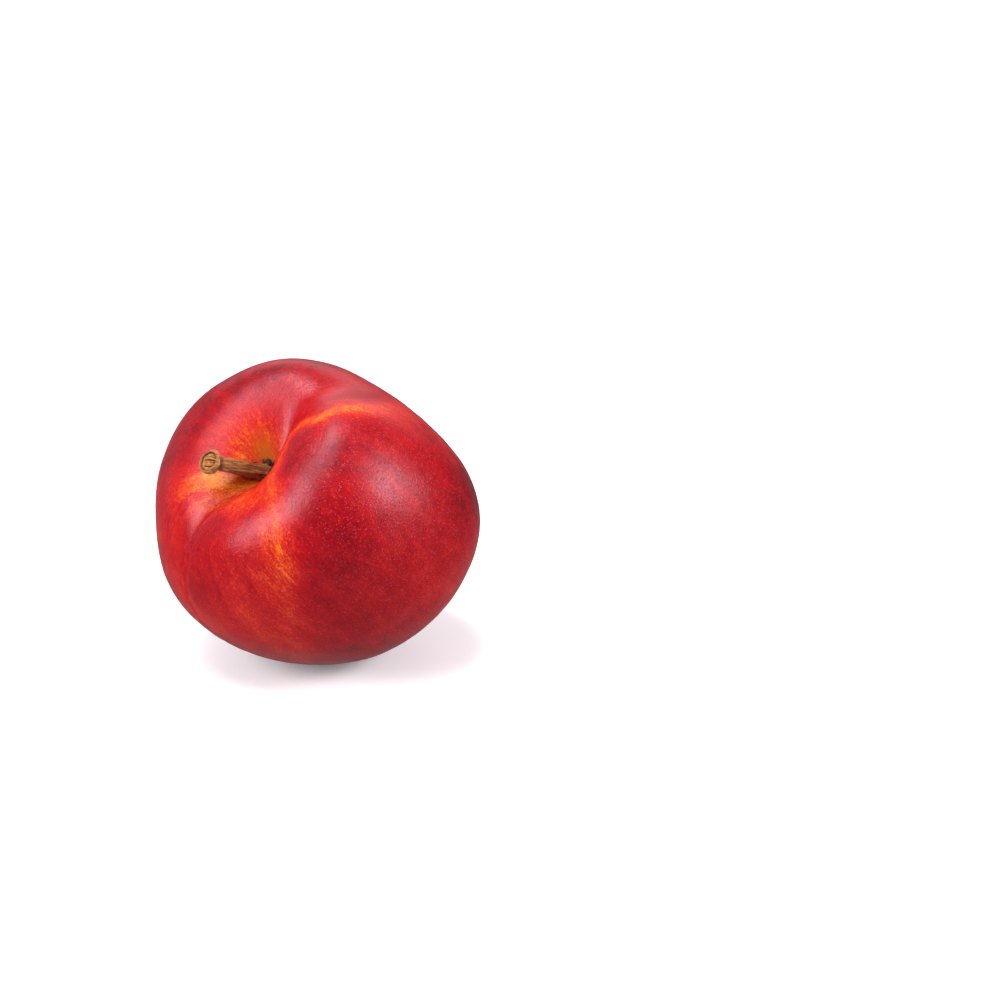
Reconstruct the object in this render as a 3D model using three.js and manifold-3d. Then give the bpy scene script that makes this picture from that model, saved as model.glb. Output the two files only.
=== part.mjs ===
// A ripe nectarine with its stalk, lying as it comes to rest.
//
// Units are millimetres and +Z is up. The origin is the middle of the small flat
// spot that the fruit rests on. The fruit leans over towards -Y, so its stalk
// cavity faces up and to the front.
//
// The fruit is one star-shaped body: its surface is a distance from the middle
// of the fruit for every direction. A direction is an azimuth round the stalk
// axis, 0 at the crease and 90 on the right-hand lobe, and a polar angle, 0 at
// the stalk and 180 at the blossom end.

import * as THREE from 'three';
import { mergeVertices } from 'three/addons/utils/BufferGeometryUtils.js';
import Module from 'manifold-3d';

const wasm = await Module();
wasm.setup();

// ---------------------------------------------------------------- dimensions

// The plain body, measured from the middle of the fruit.
const HALF_THICK = 32.0;          // towards the crease and away from it
const HALF_WIDE = 33.9;           // across the two lobes
const HALF_TOP = 34.7;            // towards the stalk, before the cavity is sunk
const HALF_BASE = 35.8;           // towards the blossom end

// Broad swellings and flats that make it a grown thing: where, how far out, how wide.
const SWELLS = [
  { azimuth: 0, polar: 70, rise: 3.8, spread: 35 },       // shoulder over the crease
  { azimuth: 0, polar: 120, rise: 0.6, spread: 35 },      // and a little of it lower down
  { azimuth: 150, polar: 120, rise: 3.2, spread: 35 },    // full lower cheek at the back
  { azimuth: 290, polar: 60, rise: 1.9, spread: 35 },     // left shoulder
  { azimuth: 235, polar: 55, rise: 1.2, spread: 30 },     // the same, round to the back
  { azimuth: 180, polar: 85, rise: -1.8, spread: 35 },    // flatter back
];

// One fold runs over the fruit: the crease (suture) down the front, through the
// stalk cavity, and a short valley down the back. Angles round the stalk axis are
// in degrees, and polar reaches and widths in radians.
const CREASE_LINE = { turn: -4.5, bend: 18.5, from: 0.35, to: 1.6 };
const VALLEY_LINE = { azimuth: 197, turn: 17.5, reach: 0.85 };
const FOLD_ROUNDING = 0.14;       // how gently the two lines meet at the stalk

// The bowl round the stalk: an easy slope on the left lobe, and on the right one
// a wall that stands straight up from the fold and rolls over.
const CAVITY_DEPTH = 15.8;
const CAVITY_REACH = { front: 0.375, back: 0.42, left: 0.50 };
const CAVITY_STEEP = 2.2;
const CAVITY_WALL = { front: 0.90, back: 0.82, turnover: 0.35 };
const CAVITY_EASE = { from: 0.25, to: 0.62, start: -0.12, end: 0.68 };  // the wall dies out at the back

// The crease, where the right lobe overlaps the left one.
const CREASE_HOLLOW = { depth: 2.2, left: 0.48, right: 0.28, end: 0.88 };
const CREASE_LIP = { depth: 1.7, left: 0.07, right: 0.20, end: 0.76 };
const SUTURE_LINE = { depth: 0.13, width: 0.022, from: 0.3, to: 0.6 };

// The valley down the back.
const BACK_VALLEY = { depth: 5.0, left: 0.38, right: 0.32, end: 1.15 };
const FOLD_START = { from: 0.03, to: 0.50 };  // crease and valley grow in outside the cavity

// How it lies.
const LEAN = 46.4;                // stalk axis from upright, towards -Y
const ROLL = -121;                // turn about the stalk axis
const CENTRE = new THREE.Vector3(-0.6, -2.65, 33.65);  // middle of the fruit

// The stalk stands on the floor of the cavity, beside the wall. It is drawn in the
// plane that it leans in: outwards, and up from its foot.
const STALK_FOOT = new THREE.Vector3(0.3, -2.3, 19.3);
const STALK_AZIMUTH = -30;
const STALK_COURSE = [[0, -3], [0.15, -0.7], [2.0, 2.2], [4.6, 6.15], [7.15, 10.4], [9.35, 13.6]];
const STALK_RADIUS = { root: 1.45, collar: 2.0, base: 1.65, neck: 1.48, head: 2.62, scar: 1.95 };
const STALK_RIDGES = 7;
const RIDGE_HEIGHT = 0.10;
const RIDGE_TWIST = 0.12;         // radians round for each millimetre along
const RIDGE_RISE = 3;             // from the flesh to where the ridges are full
const HEAD_LENGTH = 2.3;
const SCAR_DEPTH = 0.35;
const ROOT_DEPTH = 3.0;
const COLLAR_FLAT = { from: 0.9, to: 2.0 };  // above the flesh
const COLLAR_LENGTH = 3.4;        // from the flesh to where the collar has run out
const SHAFT_RINGS = 6;
const FIT_GAP = 0.35;             // clear space all round the root in the flesh

// Outlines of the stalk's two ends. Each point is a share of the radius named, and how
// far along it is: from the root's tip, from the start of the head, or as a share of the
// scar's depth.
const ROOT_OUTLINE = [[0.7, 0.05], [1, 0.5]];
const NECK_FLARE = { share: 1.12, along: 0.5 };
const HEAD_OUTLINE = [[0.88, 0.95], [1, 1.45], [0.96, 1.95]];
const SCAR_RIM = 1.1;
const SCAR_OUTLINE = [[1, 1], [0.5, 0.6], [0, 0.4]];

// Dried scales left at the foot of the stalk: how far above the foot, angle round
// it, how big.
const SCALES = [
  { up: 3.6, angle: 20, size: 0.9 },
  { up: 3.2, angle: 105, size: 1.0 },
  { up: 3.8, angle: 185, size: 0.95 },
  { up: 3.4, angle: 245, size: 1.15 },
  { up: 4.6, angle: 300, size: 1.05 },
];
const SCALE_SHAPE = { out: 1.25, across: 0.8, along: 0.7 };
const SCALE_SEGMENTS = { round: 9, down: 6 };

// Fineness of the faceted solids.
const FRUIT_SEGMENTS = { round: 92, down: 42 };
const GRID_DRAW = { stalk: 1.25, crease: 0.55 };  // how far the grid draws in to them
const STALK_SEGMENTS = 28;

// ------------------------------------------------------------------- helpers

const rad = THREE.MathUtils.degToRad;
const mix = (from, to, share) => from + (to - from) * share;
const bell = (x) => Math.exp(-x * x);

function ramp(from, to, x) {
  const t = THREE.MathUtils.clamp((x - from) / (to - from), 0, 1);
  return t * t * (3 - 2 * t);
}

function direction(azimuth, polar) {
  return new THREE.Vector3(
    Math.sin(polar) * Math.cos(azimuth),
    Math.sin(polar) * Math.sin(azimuth),
    Math.cos(polar),
  );
}

// A closed three.js geometry as a solid that can be joined and cut.
function solidOf(geometry) {
  const bare = geometry.clone();
  bare.deleteAttribute('normal');
  bare.deleteAttribute('uv');
  const merged = mergeVertices(bare, 1e-4);
  return new wasm.Manifold(new wasm.Mesh({
    numProp: 3,
    vertProperties: new Float32Array(merged.attributes.position.array),
    triVerts: new Uint32Array(merged.index.array),
  }));
}

function geometryOf(solid) {
  const mesh = solid.getMesh();
  const geometry = new THREE.BufferGeometry();
  geometry.setAttribute('position', new THREE.BufferAttribute(new Float32Array(mesh.vertProperties), 3));
  geometry.setIndex(new THREE.BufferAttribute(new Uint32Array(mesh.triVerts), 1));
  geometry.computeVertexNormals();
  return geometry;
}

// --------------------------------------------------------------------- fruit

function plainBody(dir) {
  const along = dir.z > 0 ? HALF_TOP : HALF_BASE;
  let distance = 1 / Math.hypot(dir.x / HALF_THICK, dir.y / HALF_WIDE, dir.z / along);
  for (const swell of SWELLS) {
    const apart = dir.angleTo(direction(rad(swell.azimuth), rad(swell.polar)));
    distance += swell.rise * bell(apart / rad(swell.spread));
  }
  return distance;
}

function creaseAzimuth(polar) {
  return rad(CREASE_LINE.turn + CREASE_LINE.bend * ramp(CREASE_LINE.from, CREASE_LINE.to, polar));
}

function valleyAzimuth(polar) {
  return rad(VALLEY_LINE.azimuth + VALLEY_LINE.turn * Math.exp(-((polar / VALLEY_LINE.reach) ** 4)));
}

// Where a direction lies from the fold, on a map laid flat round the stalk:
// `front` along it towards the crease, `side` off it towards the right lobe.
function foldPlace(azimuth, polar) {
  const front = polar * Math.cos(azimuth);
  const ahead = (front + Math.hypot(front, FOLD_ROUNDING)) / 2;
  const behind = ahead - front;
  const side = polar * Math.sin(azimuth)
    - Math.tan(creaseAzimuth(polar)) * ahead + Math.tan(valleyAzimuth(polar)) * behind;
  return { front, side };
}

// Rounded lip: full depth at the fold, rising steeply and rolling over.
function lipDepth(t) {
  const inside = 1 - THREE.MathUtils.clamp(t, 0, 1);
  return 1 - Math.sqrt(1 - inside * inside);
}

function cavityDepth({ front, side }) {
  const reach = front > 0 ? CAVITY_REACH.front : CAVITY_REACH.back;
  const out = Math.hypot(front / reach, Math.min(side, 0) / CAVITY_REACH.left);
  const { back, front: ahead, turnover } = CAVITY_WALL;
  const wide = mix(back, ahead, ramp(-turnover, turnover, front));
  const upright = side > 0 ? lipDepth(side / wide) : 1;
  const easy = 1 - ramp(CAVITY_EASE.start, CAVITY_EASE.end, side);
  const wall = mix(upright, easy, ramp(CAVITY_EASE.from, CAVITY_EASE.to, -front));
  return CAVITY_DEPTH * Math.exp(-(out ** CAVITY_STEEP)) * wall;
}

function creaseDepth({ front, side }, polar) {
  if (front <= 0) {
    return 0;
  }
  const onRight = side > 0;
  const hollow = CREASE_HOLLOW.depth
    * bell(side / (onRight ? CREASE_HOLLOW.right : CREASE_HOLLOW.left))
    * Math.exp(-((polar / CREASE_HOLLOW.end) ** 4));
  const lip = CREASE_LIP.depth
    * (onRight ? lipDepth(side / CREASE_LIP.right) : Math.exp(side / CREASE_LIP.left))
    * Math.exp(-((polar / CREASE_LIP.end) ** 4));
  return (hollow + lip) * ramp(FOLD_START.from, FOLD_START.to, front);
}

function valleyDepth({ front, side }, polar) {
  if (front > 0) {
    return 0;
  }
  const across = bell(side / (side > 0 ? BACK_VALLEY.right : BACK_VALLEY.left));
  return BACK_VALLEY.depth * across * Math.exp(-((polar / BACK_VALLEY.end) ** 4))
    * ramp(FOLD_START.from, FOLD_START.to, -front);
}

// The fine line of the suture, which runs on down the front to the blossom end.
function sutureDepth(azimuth, polar) {
  const turn = azimuth - creaseAzimuth(polar);
  const off = Math.sin(polar) * Math.sin(turn);
  return SUTURE_LINE.depth * bell(off / SUTURE_LINE.width)
    * ramp(-0.1, 0.5, Math.cos(turn)) * ramp(SUTURE_LINE.from, SUTURE_LINE.to, polar);
}

function surfaceDistance(azimuth, polar) {
  const place = foldPlace(azimuth, polar);
  return plainBody(direction(azimuth, polar)) - cavityDepth(place)
    - creaseDepth(place, polar) - valleyDepth(place, polar) - sutureDepth(azimuth, polar);
}

// A sphere's grid, with its seam laid along the crease, finer at the crease and
// round the stalk, and every point set out to the fruit's surface.
function fruitSkin() {
  const geometry = new THREE.SphereGeometry(1, FRUIT_SEGMENTS.round, FRUIT_SEGMENTS.down);
  const position = geometry.attributes.position;
  const rows = FRUIT_SEGMENTS.down + 1;
  const columns = FRUIT_SEGMENTS.round + 1;
  for (let row = 0; row < rows; row += 1) {
    const polar = Math.PI * (row / FRUIT_SEGMENTS.down) ** GRID_DRAW.stalk;
    for (let column = 0; column < columns; column += 1) {
      const index = row * columns + column;
      const round = 2 * Math.PI * (column % FRUIT_SEGMENTS.round) / FRUIT_SEGMENTS.round;
      const azimuth = creaseAzimuth(polar) + round - GRID_DRAW.crease * Math.sin(round);
      const point = direction(azimuth, polar).multiplyScalar(surfaceDistance(azimuth, polar));
      if (row === 0 || row === rows - 1) {
        point.set(0, 0, Math.cos(polar) * surfaceDistance(0, polar));
      }
      position.setXYZ(index, point.x, point.y, point.z);
    }
  }
  return geometry;
}

// --------------------------------------------------------------------- stalk

const course = new THREE.CatmullRomCurve3(
  STALK_COURSE.map(([out, up]) => new THREE.Vector3(out, 0, up)),
  false,
  'centripetal',
);
const STALK_LENGTH = course.getLength();

// Point at a distance along the stalk, a distance off its middle, and an angle round it.
function stalkPoint(along, off, angle) {
  const share = THREE.MathUtils.clamp(along / STALK_LENGTH, 0, 1);
  const middle = course.getPointAt(share);
  const tangent = course.getTangentAt(share);
  const outward = new THREE.Vector3(tangent.z, 0, -tangent.x);
  const beyond = along - share * STALK_LENGTH;
  return middle
    .addScaledVector(tangent, beyond)
    .addScaledVector(outward, off * Math.cos(angle))
    .add(new THREE.Vector3(0, off * Math.sin(angle), 0));
}

// Radius and place along the stalk, from the root to the scar on its head. The
// shaft between the collar and the head narrows evenly.
function stalkProfile() {
  const r = STALK_RADIUS;
  const head = STALK_LENGTH - HEAD_LENGTH;
  const bark = ROOT_DEPTH + COLLAR_LENGTH;
  const shaft = Array.from({ length: SHAFT_RINGS }, (_, ring) => {
    const share = ring / (SHAFT_RINGS - 1);
    return [mix(r.base, r.neck, share), mix(bark, head, share)];
  });
  return [
    [0, 0],
    ...ROOT_OUTLINE.map(([share, along]) => [r.root * share, along]),
    [r.root, ROOT_DEPTH],
    [r.collar, ROOT_DEPTH + COLLAR_FLAT.from],
    [r.collar, ROOT_DEPTH + COLLAR_FLAT.to],
    ...shaft,
    [r.neck * NECK_FLARE.share, head + NECK_FLARE.along],
    ...HEAD_OUTLINE.map(([share, along]) => [r.head * share, head + along]),
    [r.scar * SCAR_RIM, STALK_LENGTH],
    ...SCAR_OUTLINE.map(([share, deep]) => [r.scar * share, STALK_LENGTH - SCAR_DEPTH * deep]),
  ];
}

// The stalk's shape, or with `grow` the same shape that much larger all over.
function stalkShape(grow) {
  const profile = stalkProfile();
  const outline = profile.map(([radius, along]) => new THREE.Vector2(radius, along));
  const geometry = new THREE.LatheGeometry(outline, STALK_SEGMENTS);
  const position = geometry.attributes.position;
  for (let index = 0; index < position.count; index += 1) {
    const angle = 2 * Math.PI * (Math.floor(index / profile.length) % STALK_SEGMENTS) / STALK_SEGMENTS;
    const [radius, along] = profile[index % profile.length];
    const ridged = 1 + RIDGE_HEIGHT * ramp(ROOT_DEPTH, ROOT_DEPTH + RIDGE_RISE, along)
      * Math.cos(STALK_RIDGES * angle + RIDGE_TWIST * along);
    const off = radius > 0 ? radius * ridged + grow : 0;
    const point = stalkPoint(along < ROOT_DEPTH / 2 ? along - grow : along, off, angle);
    position.setXYZ(index, point.x, point.y, point.z);
  }
  return geometry;
}

function driedScale({ up, angle, size }, grow) {
  const foot = stalkPoint(ROOT_DEPTH + up, 0, 0);
  const base = stalkPoint(ROOT_DEPTH + up, STALK_RADIUS.base, rad(angle));
  const outward = base.clone().sub(foot).normalize();
  return new THREE.SphereGeometry(size, SCALE_SEGMENTS.round, SCALE_SEGMENTS.down)
    .scale(SCALE_SHAPE.out + grow / size, SCALE_SHAPE.across + grow / size, SCALE_SHAPE.along + grow / size)
    .applyQuaternion(new THREE.Quaternion().setFromUnitVectors(new THREE.Vector3(1, 0, 0), outward))
    .translate(base.x, base.y, base.z);
}

function stalkSolid(grow) {
  return SCALES.reduce(
    (solid, scale) => solid.add(solidOf(driedScale(scale, grow))),
    solidOf(stalkShape(grow)),
  );
}

// ------------------------------------------------------------------ assembly

const part = new THREE.Group();

const lying = new THREE.Group();
lying.position.copy(CENTRE);
lying.rotation.set(rad(LEAN), 0, rad(ROLL));
lying.updateMatrix();
part.add(lying);

// Everything below the table is a slab in the fruit's own frame, taken off for the flat spot.
const SLAB = 120;
const belowTable = new THREE.BoxGeometry(SLAB, SLAB, SLAB)
  .translate(0, 0, -SLAB / 2)
  .applyMatrix4(lying.matrix.clone().invert());

// The stalk is placed in the fruit's frame, and the flesh keeps clear of it all round.
const stem = new THREE.Mesh(
  geometryOf(stalkSolid(0)),
  new THREE.MeshStandardMaterial({ name: 'stalk_wood', color: '#7a4a2c', roughness: 0.7, metalness: 0 }),
);
stem.name = 'stem';
stem.position.copy(STALK_FOOT);
stem.rotation.z = rad(STALK_AZIMUTH);
stem.updateMatrix();
lying.add(stem);

const socket = stalkSolid(FIT_GAP).transform(stem.matrix.toArray());
const fruitSolid = solidOf(fruitSkin())
  .subtract(socket)
  .subtract(solidOf(belowTable));

const fruit = new THREE.Mesh(
  geometryOf(fruitSolid),
  new THREE.MeshStandardMaterial({ name: 'skin', color: '#b3151f', roughness: 0.38, metalness: 0 }),
);
fruit.name = 'fruit';
lying.add(fruit);

export default part;
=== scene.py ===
"""A ripe nectarine with its stalk, lying on its cheek as it comes to rest.

The fruit is one star-shaped body: its skin is a distance from the middle of the
fruit for every direction. A direction is an azimuth round the stalk axis, 0 at the
crease and 90 degrees on the right-hand lobe, and a polar angle, 0 at the stalk and
180 degrees at the blossom end. The colours of the skin follow the same two angles.
"""

import math
import random

import bmesh
import bpy
from mathutils import Euler, Matrix, Vector, noise


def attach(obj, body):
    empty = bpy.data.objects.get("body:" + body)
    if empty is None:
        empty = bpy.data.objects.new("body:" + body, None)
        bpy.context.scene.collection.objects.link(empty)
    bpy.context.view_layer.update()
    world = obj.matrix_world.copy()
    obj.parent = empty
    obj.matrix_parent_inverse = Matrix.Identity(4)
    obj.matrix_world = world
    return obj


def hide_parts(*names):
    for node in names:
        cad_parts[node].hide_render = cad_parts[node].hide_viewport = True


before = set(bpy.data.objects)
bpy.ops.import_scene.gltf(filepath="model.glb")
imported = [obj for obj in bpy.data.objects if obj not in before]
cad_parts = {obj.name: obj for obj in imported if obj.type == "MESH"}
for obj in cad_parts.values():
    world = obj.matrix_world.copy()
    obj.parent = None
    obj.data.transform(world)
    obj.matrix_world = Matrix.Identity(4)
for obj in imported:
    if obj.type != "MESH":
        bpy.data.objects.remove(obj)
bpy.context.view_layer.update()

MM = 0.001

# ------------------------------------------------------------ the fruit's form (mm, degrees)

HALF_THICK = 32.0                # towards the crease and away from it
HALF_WIDE = 33.9                 # across the two lobes
HALF_TOP = 34.7                  # towards the stalk, before the cavity is sunk
HALF_BASE = 35.8                 # towards the blossom end

# Broad swellings and flats: azimuth, polar angle, how far out, how wide.
SWELLS = (
    (0, 70, 3.8, 35),            # shoulder over the crease
    (0, 120, 0.6, 35),           # and a little of it lower down
    (150, 120, 3.2, 35),         # full lower cheek at the back
    (290, 60, 1.9, 35),          # left shoulder
    (235, 55, 1.2, 30),          # the same, round to the back
    (180, 85, -1.8, 35),         # flatter back
)

# One fold runs over the fruit: the crease down the front, through the stalk cavity,
# and a short valley down the back. Azimuths are in degrees, and polar reaches and
# widths below are in radians.
CREASE_LINE = {"turn": -4.5, "bend": 18.5, "from": 0.35, "to": 1.6}
VALLEY_LINE = {"azimuth": 197.0, "turn": 17.5, "reach": 0.85}
FOLD_ROUNDING = 0.14             # how gently the two lines meet at the stalk

# The bowl round the stalk: an easy slope on the left lobe, and on the right one a
# wall that stands straight up from the fold and rolls over. Towards the back the wall
# eases into a slope as well.
CAVITY_DEPTH = 15.8
CAVITY_REACH = {"front": 0.375, "back": 0.42, "left": 0.50}
CAVITY_STEEP = 2.2
CAVITY_WALL = {"front": 0.90, "back": 0.82, "change": 0.35}
CAVITY_EASE = {"from": 0.25, "to": 0.62, "start": -0.12, "end": 0.68}

# The crease is a broad hollow with a step in it, where the right lobe stands over the
# left one. The valley at the back is plain.
CREASE_HOLLOW = {"depth": 2.2, "left": 0.48, "right": 0.28, "end": 0.88}
CREASE_LIP = {"depth": 1.7, "left": 0.07, "right": 0.20, "end": 0.76}
BACK_VALLEY = {"depth": 5.0, "left": 0.38, "right": 0.32, "end": 1.15}
FOLD_START = {"from": 0.03, "to": 0.50}      # where both set in, away from the stalk

SUTURE_LINE = {"depth": 0.13, "width": 0.022, "from": 0.3, "to": 0.6}
SUTURE_FRONT = {"from": -0.1, "to": 0.5}     # cosines of the turn away from the crease

# Slight unevenness of a grown skin: how close its waves are (to a radian), where in the
# noise they start, and their height.
SKIN_WAVES = (
    (2.6, Vector((3.1, 0.4, 7.7)), 0.28),
    (8.0, Vector((11.0, 5.0, 2.0)), 0.07),
)

# How it lies: first turned about its own stalk axis, then leant over.
LEAN = 46.4
ROLL = -121.0
CENTRE = Vector((-0.6, -2.65, 33.65))
SPOT_SOFTNESS = 0.15             # how softly the resting spot runs out into the skin

SEGMENTS_ROUND = 360
SEGMENTS_DOWN = 250
GRID_DRAW = {"stalk": 1.25, "crease": 0.55}  # how far the mesh draws in to them

# ----------------------------------------------------------------------- the stalk's form (mm)

STALK_FOOT = Vector((0.3, -2.3, 19.3))       # where its middle leaves the flesh
STALK_AZIMUTH = -30.0                        # the way it leans
# Points that its middle line runs through: how far out that way, and how far up.
STALK_COURSE = ((0, -3), (0.15, -0.7), (2.0, 2.2), (4.6, 6.15), (7.15, 10.4), (9.35, 13.6))
STALK_BASE = 1.68                # radius where it leaves the flesh
STALK_NECK = 1.48                # and below the head
ROOT_DEPTH = 3.0                 # length of the root, which is in the flesh
ROOT_RADIUS = {"tip": 0.9, "full": 1.45, "rise": 0.8}
COLLAR = {"radius": 2.0, "above": 1.4, "width": 1.0, "from": -0.5, "to": 0.9}
HEAD_RADIUS = 2.62
HEAD_LENGTH = 2.3
HEAD_FLARE = {"from": -0.2, "to": 1.35}
WAIST = {"depth": 0.10, "before": 0.3, "width": 0.6}
TUCK = {"depth": 0.22, "length": 0.8}        # how the head draws in again at its end
SCAR_RADIUS = 2.24
RIM_RISE = 0.06                  # of the narrow rim round the scar
STALK_ROUND = 128
STALK_RINGS = 150
SCAR_RINGS = 28
MERGE_DISTANCE = 1e-5
SCAR_SLANT = 0.33                # the scarred end is broken off slightly askew

# ------------------------------------------------------------------------------ the camera (m)

CAMERA_AZIMUTH = 28.0
CAMERA_ELEVATION = 24.0
CAMERA_DISTANCE = 0.612
LENS = 100.0
SENSOR = 36.0
CLIP_START = 0.01
FRAME_PIXELS = 1000
FRUIT_MIDDLE_PIXEL = (317.3, 512.4)          # where the fruit's middle lies in the frame


# --------------------------------------------------------------------------- little functions

def ramp(low, high, x):
    """0 up to low, 1 from high on, and a soft rise between them."""
    t = min(max((x - low) / (high - low), 0.0), 1.0)
    return t * t * (3 - 2 * t)


def bell(x):
    return math.exp(-x * x)


def plateau(x):
    """Near 1 round 0, and falling to 0 past 1."""
    return math.exp(-(x ** 4))


def mix(a, b, share):
    return a + (b - a) * share


def direction(azimuth, polar):
    """The way out from the fruit's middle at an azimuth and a polar angle."""
    s = math.sin(polar)
    return Vector((s * math.cos(azimuth), s * math.sin(azimuth), math.cos(polar)))


# The swellings again, each with the direction that it faces.
SWELL_LIST = [
    (direction(math.radians(azimuth), math.radians(polar)), rise, math.radians(spread))
    for azimuth, polar, rise, spread in SWELLS
]


# ------------------------------------------------------------------------------ skin distance

def crease_azimuth(polar):
    line = CREASE_LINE
    return math.radians(line["turn"] + line["bend"] * ramp(line["from"], line["to"], polar))


def valley_azimuth(polar):
    line = VALLEY_LINE
    return math.radians(line["azimuth"] + line["turn"] * plateau(polar / line["reach"]))


def rolled_lip(t):
    """1 at the foot of a lip, rising steeply and rolling over to 0."""
    inside = 1 - min(max(t, 0.0), 1.0)
    return 1 - math.sqrt(max(1 - inside * inside, 0.0))


def fold_place(azimuth, polar):
    """Where a direction lies on a map laid flat round the stalk: along the fold towards
    the crease, and off it towards the right lobe."""
    front = polar * math.cos(azimuth)
    ahead = (front + math.hypot(front, FOLD_ROUNDING)) / 2
    behind = ahead - front
    side = polar * math.sin(azimuth)
    side += math.tan(valley_azimuth(polar)) * behind - math.tan(crease_azimuth(polar)) * ahead
    return front, side


def plain_body(d):
    top = HALF_TOP if d.z > 0 else HALF_BASE
    distance = 1 / math.sqrt((d.x / HALF_THICK) ** 2 + (d.y / HALF_WIDE) ** 2 + (d.z / top) ** 2)
    for towards, rise, spread in SWELL_LIST:
        apart = math.acos(min(max(d.dot(towards), -1.0), 1.0))
        distance += rise * bell(apart / spread)
    return distance


def cavity_depth(front, side):
    reach = CAVITY_REACH["front" if front > 0 else "back"]
    out = math.hypot(front / reach, min(side, 0.0) / CAVITY_REACH["left"])
    frontal = ramp(-CAVITY_WALL["change"], CAVITY_WALL["change"], front)
    wide = mix(CAVITY_WALL["back"], CAVITY_WALL["front"], frontal)
    upright = rolled_lip(side / wide) if side > 0 else 1.0
    easy = 1 - ramp(CAVITY_EASE["start"], CAVITY_EASE["end"], side)
    wall = mix(upright, easy, ramp(CAVITY_EASE["from"], CAVITY_EASE["to"], -front))
    return CAVITY_DEPTH * math.exp(-(out ** CAVITY_STEEP)) * wall


def crease_depth(front, side, polar):
    if front <= 0:
        return 0.0
    hollow = CREASE_HOLLOW["depth"] * plateau(polar / CREASE_HOLLOW["end"])
    lip = CREASE_LIP["depth"] * plateau(polar / CREASE_LIP["end"])
    if side > 0:
        hollow *= bell(side / CREASE_HOLLOW["right"])
        lip *= rolled_lip(side / CREASE_LIP["right"])
    else:
        hollow *= bell(side / CREASE_HOLLOW["left"])
        lip *= math.exp(side / CREASE_LIP["left"])
    return (hollow + lip) * ramp(FOLD_START["from"], FOLD_START["to"], front)


def valley_depth(front, side, polar):
    if front > 0:
        return 0.0
    across = bell(side / BACK_VALLEY["right" if side > 0 else "left"])
    depth = BACK_VALLEY["depth"] * across * plateau(polar / BACK_VALLEY["end"])
    return depth * ramp(FOLD_START["from"], FOLD_START["to"], -front)


def suture_depth(azimuth, polar):
    """The fine line of the suture, which runs on down the front to the blossom end."""
    turn = azimuth - crease_azimuth(polar)
    off = math.sin(polar) * math.sin(turn)
    line = SUTURE_LINE["depth"] * bell(off / SUTURE_LINE["width"])
    line *= ramp(SUTURE_FRONT["from"], SUTURE_FRONT["to"], math.cos(turn))
    return line * ramp(SUTURE_LINE["from"], SUTURE_LINE["to"], polar)


def skin_distance(azimuth, polar):
    front, side = fold_place(azimuth, polar)
    distance = plain_body(direction(azimuth, polar))
    distance -= cavity_depth(front, side)
    distance -= crease_depth(front, side, polar)
    distance -= valley_depth(front, side, polar)
    distance -= suture_depth(azimuth, polar)
    return distance


def skin_waviness(d):
    return sum(height * noise.noise(d * pace + start) for pace, start, height in SKIN_WAVES)


LYING = (
    Matrix.Translation(CENTRE)
    @ Euler((math.radians(LEAN), 0, 0)).to_matrix().to_4x4()
    @ Euler((0, 0, math.radians(ROLL))).to_matrix().to_4x4()
)


# ------------------------------------------------------------------ where the colours lie

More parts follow.
